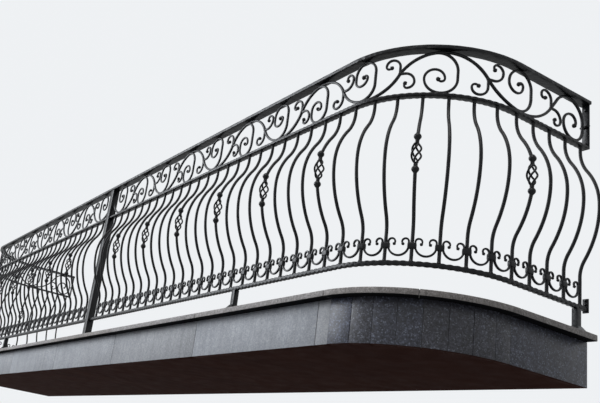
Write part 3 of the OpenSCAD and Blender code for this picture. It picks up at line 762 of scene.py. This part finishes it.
def add_ring_boss(shape, u, z):
    """Forged lump over a crossing."""
    t = np.radians(np.linspace(-86, 86, 9))
    w = around(14)
    r = (FRIEZE_T / 2 + 1.6 * MM) * np.cos(t)[:, None] ** 0.5
    out = (FRIEZE_D / 2 + 1.2 * MM) * np.sin(t)[:, None]
    shape.tube(on_line(u + r * np.cos(w), out + 0 * w, z + r * np.sin(w)))


def frieze(name, node, u0, u1, mirrored):
    """The vine from u0 to u1 and what grows from it there."""
    shape = Shape()
    u = np.linspace(u0, u1, math.ceil((u1 - u0) / (3 * MM)) + 1)
    curve = np.stack([u, vine_height(u)], -1)
    rough = 1 + 0.03 * noise_1d(7, 22 * MM)(lengths(curve) + u0)
    rings = bar_rings(curve, FRIEZE_T / 2 * rough, FRIEZE_D / 2 * rough, SECTION_POWER, 12)
    rings[..., 0] = np.clip(rings[..., 0], u0, u1)
    shape.tube(on_line(rings[..., 0], rings[..., 2], MID_Z1 + rings[..., 1]))
    for i in range(len(SPANS)):
        add_growth(shape, i, u0, u1)
    if u0 == CROSSINGS[0]:
        add_scroll(shape, wall_loop_curve(), 0, lambda x, z: (x, z), FRIEZE_T, FRIEZE_D, 0.86)
    shape.piece(name, IRON, [node], "black_iron", mirrored)


for side, flip in (("right", False), ("left", True)):
    frieze(f"frieze_{side}_end_scrolls", f"frieze_{side}_end", CROSSINGS[0], FRONT_U, flip)
    frieze(f"frieze_front_{side}_scrolls", f"frieze_front_{side}", FRONT_U, POST_U, flip)


# C scrolls

SCROLL_T = 8 * MM
SCROLL_D = 10 * MM
SCROLL_W = 2 * BEND_R * math.sin(PITCH / 2 / BEND_R) - BAR_D - 1.4 * MM
SCROLL_Z = 18 * MM
SCROLL_R = SCROLL_W / 2 - SCROLL_T / 2
SCROLL_ZC = SCROLL_Z + SCROLL_W / 2
CURL_R = 0.33 * SCROLL_R
CURL_RISE = 0.42 * SCROLL_R
CURL_TURN = 215
CURL_TAIL = 0.7
SCROLL_TAPER, SCROLL_BALL = 0.85, 0.8


def c_half():
    """Right half of a C scroll, from the middle of its back to the eye of its curl."""
    curl, top, step = CURL_R, SCROLL_ZC + CURL_RISE, 3 * MM
    turn = math.radians(CURL_TURN)
    lip = np.array([SCROLL_R - curl + curl * math.cos(turn), top + curl * math.sin(turn)])
    tail = lip + CURL_TAIL * curl * np.array([-math.sin(turn), math.cos(turn)])
    return chain(
        arc(0, SCROLL_ZC, SCROLL_R, 270, 360, step), straight((SCROLL_R, SCROLL_ZC), (SCROLL_R, top), step),
        arc(SCROLL_R - curl, top, curl, 0, CURL_TURN, step * 0.7), straight(lip, tail, step * 0.7),
    )


C_HALF = c_half()


def add_c_scroll(shape, u):
    """A C scroll in two halves that share their back, each tapering to its curl."""
    half = with_tip(C_HALF, SCROLL_T, SCROLL_BALL)
    a, b, power = snub(half, SCROLL_T, SCROLL_D, SCROLL_TAPER, SCROLL_BALL)
    curve = np.concatenate([half[::-1] * [-1, 1], half[1:]])
    a, b, power = (np.concatenate([v[::-1], v[1:]]) for v in (a, b, power))
    rings = bar_rings(curve, a, b, power, 10)
    shape.tube(at_bar(u, rings[..., 0], rings[..., 2], BOTTOM_Z1 + rings[..., 1]))


COLLAR_HEIGHTS = np.array([-11.0, -10.7, -9.2, -3.0, 3.0, 9.2, 10.7, 11.0]) * MM
COLLAR_INSETS = np.array([2.2, 1.0, 0.3, 0, 0, 0.3, 1.0, 2.2]) * MM
COLLAR_WRAP = 2 * MM
COLLAR_POWER = 0.4


def add_collar(shape, u):
    """Wrapped band round a baluster and the two scrolls beside it."""
    half_w, half_d = BAR_D / 2 + SCROLL_T + COLLAR_WRAP, BAR_D / 2 + COLLAR_WRAP
    w = around(24, 0.5)
    along = (half_w - COLLAR_INSETS)[:, None] * squared(np.cos(w), COLLAR_POWER)
    out = (half_d - COLLAR_INSETS)[:, None] * squared(np.sin(w), COLLAR_POWER)
    shape.tube(at_bar(u, along, out, BOTTOM_Z1 + SCROLL_ZC + COLLAR_HEIGHTS[:, None]))


def c_scrolls(name, node, i0, i1, c0, c1, mirrored):
    """C scrolls of bays i0 to i1 and the collars on bars c0 to c1."""
    shape = Shape()
    for i in range(i0, i1 + 1):
        add_c_scroll(shape, (i + 0.5) * PITCH)
    for i in range(c0, c1 + 1):
        add_collar(shape, i * PITCH)
    shape.piece(name, IRON, [node], "black_iron", mirrored)


for side, flip in (("right", False), ("left", True)):
    c_scrolls(f"c_scrolls_{side}_end_forged", f"c_scrolls_{side}_end", 0, BEND_BAR - 1, 1, BEND_BAR, flip)
    c_scrolls(f"c_scrolls_front_{side}_forged", f"c_scrolls_front_{side}", BEND_BAR, BAYS - 2,
              BEND_BAR + 1, BAYS - 1, flip)


# Stone and plain iron pieces, with their edges eased

FLAT_DEG, EDGE_DEG = 0.4, 25
UNDERSIDE = -0.35


def eased(node, material, width, segments=2, under=None):
    """A copy of a CAD node with rounded edges, its underside in a material of its own."""
    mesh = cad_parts[node].data.copy()
    work = bmesh.new()
    work.from_mesh(mesh)
    bmesh.ops.remove_doubles(work, verts=work.verts, dist=SAME_PLACE)
    bmesh.ops.dissolve_limit(work, angle_limit=math.radians(FLAT_DEG), verts=work.verts, edges=work.edges)
    sharp = [e for e in work.edges
             if len(e.link_faces) == 2 and e.calc_face_angle(0) > math.radians(EDGE_DEG)]
    bmesh.ops.bevel(work, geom=sharp, offset=width, segments=segments, profile=0.5, affect="EDGES",
                    clamp_overlap=True)
    work.to_mesh(mesh)
    work.free()
    finish_piece(f"{node}_eased", mesh, material, [node], 30)
    if under:
        mesh.materials.append(under)
        for face in mesh.polygons:
            face.material_index = int(face.normal.z < UNDERSIDE)


# The copings' downward faces take the near-black coat, painted shade under the overhang
for node in ("coping_front", "coping_right", "coping_left"):
    eased(node, EDGE_STONE, 2.5 * MM, 3, UNDER_SHADE_COAT)
eased("floor_tiles", PAVING, 1 * MM)
eased("fascia_front", FRONT_STONE, 1.2 * MM, 2, SOFFIT)
for node in ("fascia_right", "fascia_left"):
    eased(node, STRIP_STONE, 1.2 * MM, 2, SOFFIT)
for node in ("centre_post", "front_feet", "end_feet", "wall_straps", "wall_flanges"):
    eased(node, IRON, 1.2 * MM)
for node, material in (("slab_core", CONCRETE), ("soffit_lining", SOFFIT)):
    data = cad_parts[node].data
    data.materials.clear()
    data.materials.append(material)


# Mortar in the stone joints, and the bolts, which the CAD leaves out

MORTAR_BACK = 3 * MM


def deck_ring(out):
    """Deck outline at an offset from the railing's line, set back a little from the wall's plane."""
    u = np.concatenate([[MORTAR_BACK - END_GAP], np.linspace(RETURN_L, FRONT_U, 49)])
    right = on_line(u, out, 0.0)[:, :2]
    return np.concatenate([right, right[::-1] * [-1, 1]])


def mortar(name, out, z0, z1):
    """Body inside the stones that shows only in their joints."""
    ring = deck_ring(out)
    shape = Shape()
    shape.tube(np.stack([np.column_stack([ring, np.full(len(ring), z)]) for z in (z0, z1)]))
    shape.piece(name, MORTAR)


def add_bolt(shape, x, z, wall_y, radius, height):
    """Washer and chamfered hexagonal head on a face that looks to -Y."""
    w = around(24)
    hexagon = math.cos(math.pi / 6) / np.cos(w % (math.pi / 3) - math.pi / 6)
    # Distance from the wall, share of the radius, and whether the ring is hexagonal
    steps = ((0, 1.5, 0), (1.0 * MM, 1.5, 0), (1.5 * MM, 1.38, 0), (1.6 * MM, 1.08, 1),
             (height, 1.08, 1), (height + 0.9 * MM, 0.9, 0))
    rings = []
    for up, share, six in steps:
        r = radius * share * (hexagon if six else 1)
        rings.append(np.stack([x + r * np.cos(w), np.full_like(w, wall_y - up), z + r * np.sin(w)], -1))
    shape.tube(np.array(rings))


CLAMP_POWER = 0.6


def add_clamp(shape, x, z, wall_y, half_w, half_h, depth):
    """Forged bar across the strap, its ends rounded off."""
    t = np.linspace(-1, 1, 13)
    slim = np.clip((1 - np.abs(t) ** 6), 0.05, 1) ** 0.5
    w = around(16, 0.5)
    out = wall_y - depth / 2 + depth / 2 * slim[:, None] * squared(np.sin(w), CLAMP_POWER)
    up = z + half_h * slim[:, None] * squared(np.cos(w), CLAMP_POWER)
    shape.tube(np.stack([np.broadcast_to(x + half_w * t[:, None], out.shape), out, up], -1))


strap_low, strap_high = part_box("wall_straps")
flange_low, flange_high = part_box("wall_flanges")
COPING_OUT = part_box("coping_right")[1].x - BEND_X - BEND_R
FASCIA_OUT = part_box("fascia_right")[1].x - BEND_X - BEND_R
SLAB_TOP, FASCIA_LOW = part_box("slab_core")[1].z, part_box("fascia_front")[0].z
LINE_X = BEND_X + BEND_R
BOLT_R = 5 * MM
strap_z = (strap_low.z + strap_high.z) / 2
flange_z = (flange_low.z + flange_high.z) / 2
mortar("coping_mortar", COPING_OUT - 5 * MM, SLAB_TOP + 2 * MM, deck_top - 2.5 * MM)
mortar("fascia_mortar", FASCIA_OUT - 3 * MM, FASCIA_LOW + 4 * MM, SLAB_TOP - 1 * MM)
for side, flip in (("right", False), ("left", True)):
    bolts = Shape()
    for dz in (5 * MM, 21 * MM):
        add_bolt(bolts, LINE_X, flange_z + dz, flange_low.y, BOLT_R, 7 * MM)
    for dz in (-80 * MM, 80 * MM):
        add_bolt(bolts, LINE_X, strap_z + dz, strap_low.y, BOLT_R, 6 * MM)
    add_clamp(bolts, LINE_X, strap_z, strap_low.y, 25 * MM, 5.5 * MM, 9 * MM)
    bolts.piece(f"wall_bolts_{side}", IRON, mirrored=flip)


# Stage, light and camera

FLOOR_Z = -2.9
STAGE_HALF = 40.0
PALE = (0.86, 0.88, 0.90)
SKY, SKY_STRENGTH = (0.92, 0.96, 1.0), 0.42
FLOOR_LIT, FLOOR_SEEN, FLOOR_GLOW = (0.26, 0.26, 0.26), (0.72, 0.72, 0.71), 0.62


def seen_or_mirrored(tree):
    """1 for rays of the camera and of reflections, 0 for the light that falls on things."""
    rays = tree.nodes.new("ShaderNodeLightPath")
    both = rays.outputs["Is Camera Ray"]
    for kind in ("Is Glossy Ray", "Is Transmission Ray"):
        larger = tree.nodes.new("ShaderNodeMath")
        larger.operation = "MAXIMUM"
        tree.links.new(both, larger.inputs[0])
        tree.links.new(rays.outputs[kind], larger.inputs[1])
        both = larger.outputs[0]
    return both


def pale_world():
    """Pale surroundings for the camera and for gloss, softer as a light."""
    world = bpy.data.worlds.new("pale_sky")
    bpy.context.scene.world = world
    world.use_nodes = True
    tree = world.node_tree
    tree.nodes.clear()
    out = tree.nodes.new("ShaderNodeOutputWorld")
    seen = tree.nodes.new("ShaderNodeBackground")
    seen.inputs[0].default_value = (*PALE, 1)
    seen.inputs[1].default_value = 1.0
    light = tree.nodes.new("ShaderNodeBackground")
    light.inputs[0].default_value = (*SKY, 1)
    light.inputs[1].default_value = SKY_STRENGTH
    blend = tree.nodes.new("ShaderNodeMixShader")
    tree.links.new(seen_or_mirrored(tree), blend.inputs[0])
    tree.links.new(light.outputs[0], blend.inputs[1])
    tree.links.new(seen.outputs[0], blend.inputs[2])
    tree.links.new(blend.outputs[0], out.inputs[0])


def floor():
    """Floor that keeps the shadow, paler to the camera than it is as a source of bounced light."""
    mesh = bpy.data.meshes.new("floor")
    corners = [(x * STAGE_HALF, y * STAGE_HALF, FLOOR_Z) for x, y in ((-1, -1), (1, -1), (1, 1), (-1, 1))]
    mesh.from_pydata(corners, [], [(0, 1, 2, 3)])
    material, tree, shader, _ = new_material("floor_pale")
    seen = seen_or_mirrored(tree)
    tree.links.new(mix(tree, seen, FLOOR_LIT, FLOOR_SEEN), shader.inputs["Base Color"])
    shader.inputs["Roughness"].default_value = 0.9
    shader.inputs["Specular IOR Level"].default_value = 0.1
    glow = tree.nodes.new("ShaderNodeEmission")
    glow.inputs[0].default_value = (*PALE, 1)
    share = tree.nodes.new("ShaderNodeMath")
    share.operation = "MULTIPLY"
    share.inputs[1].default_value = FLOOR_GLOW
    tree.links.new(seen, share.inputs[0])
    blend = tree.nodes.new("ShaderNodeMixShader")
    tree.links.new(share.outputs[0], blend.inputs[0])
    tree.links.new(shader.outputs[0], blend.inputs[1])
    tree.links.new(glow.outputs[0], blend.inputs[2])
    out = next(node for node in tree.nodes if node.type == "OUTPUT_MATERIAL")
    tree.links.new(blend.outputs[0], out.inputs[0])
    mesh.materials.append(material)
    thing = bpy.data.objects.new("floor", mesh)
    bpy.context.scene.collection.objects.link(thing)


def area_light(name, place, target, size, power, colour):
    """Round lamp of that diameter in metres and power in watts, turned to its target."""
    lamp = bpy.data.lights.new(name, "AREA")
    lamp.shape = "DISK"
    lamp.size = size
    lamp.energy = power
    lamp.color = colour
    thing = bpy.data.objects.new(name, lamp)
    bpy.context.scene.collection.objects.link(thing)
    thing.location = place
    thing.rotation_euler = (Vector(target) - Vector(place)).to_track_quat("-Z", "Y").to_euler()


def camera():
    """The photograph's viewpoint: low and close to the right end, looking up and along the front."""
    place = Vector((4.9364, -2.8503, -0.6701))
    heading, pitch, roll = math.radians(152.127), math.radians(18.967), math.radians(-9.488)
    focal_px, principal_x, image_w = 809.6, 200.0, 600.0
    level_ahead = Vector((math.cos(heading), math.sin(heading), 0))
    ahead = level_ahead * math.cos(pitch) + Vector((0, 0, math.sin(pitch)))
    upright = (Vector((0, 0, 1)) - ahead * ahead.z).normalized()
    level = ahead.cross(upright)
    up = upright * math.cos(roll) + level * math.sin(roll)
    right = ahead.cross(up)
    data = bpy.data.cameras.new("camera")
    data.sensor_width = 36.0
    data.lens = focal_px / image_w * data.sensor_width
    data.shift_x = (image_w / 2 - principal_x) / image_w
    data.clip_end = 200
    thing = bpy.data.objects.new("camera", data)
    bpy.context.scene.collection.objects.link(thing)
    turn = Matrix((right, up, -ahead)).transposed()
    thing.matrix_world = Matrix.Translation(place) @ turn.to_4x4()
    bpy.context.scene.camera = thing


pale_world()
floor()
area_light("sky_left", (-10.5, -12.5, 6.2), (0.7, -0.7, 0.5), 11, 2350, (0.91, 0.95, 1.0))
area_light("sky_top", (3, -4, 8), (0, -0.5, 0.5), 6, 330, (1.0, 0.98, 0.95))
camera()
bpy.context.scene.view_settings.view_transform = "Standard"
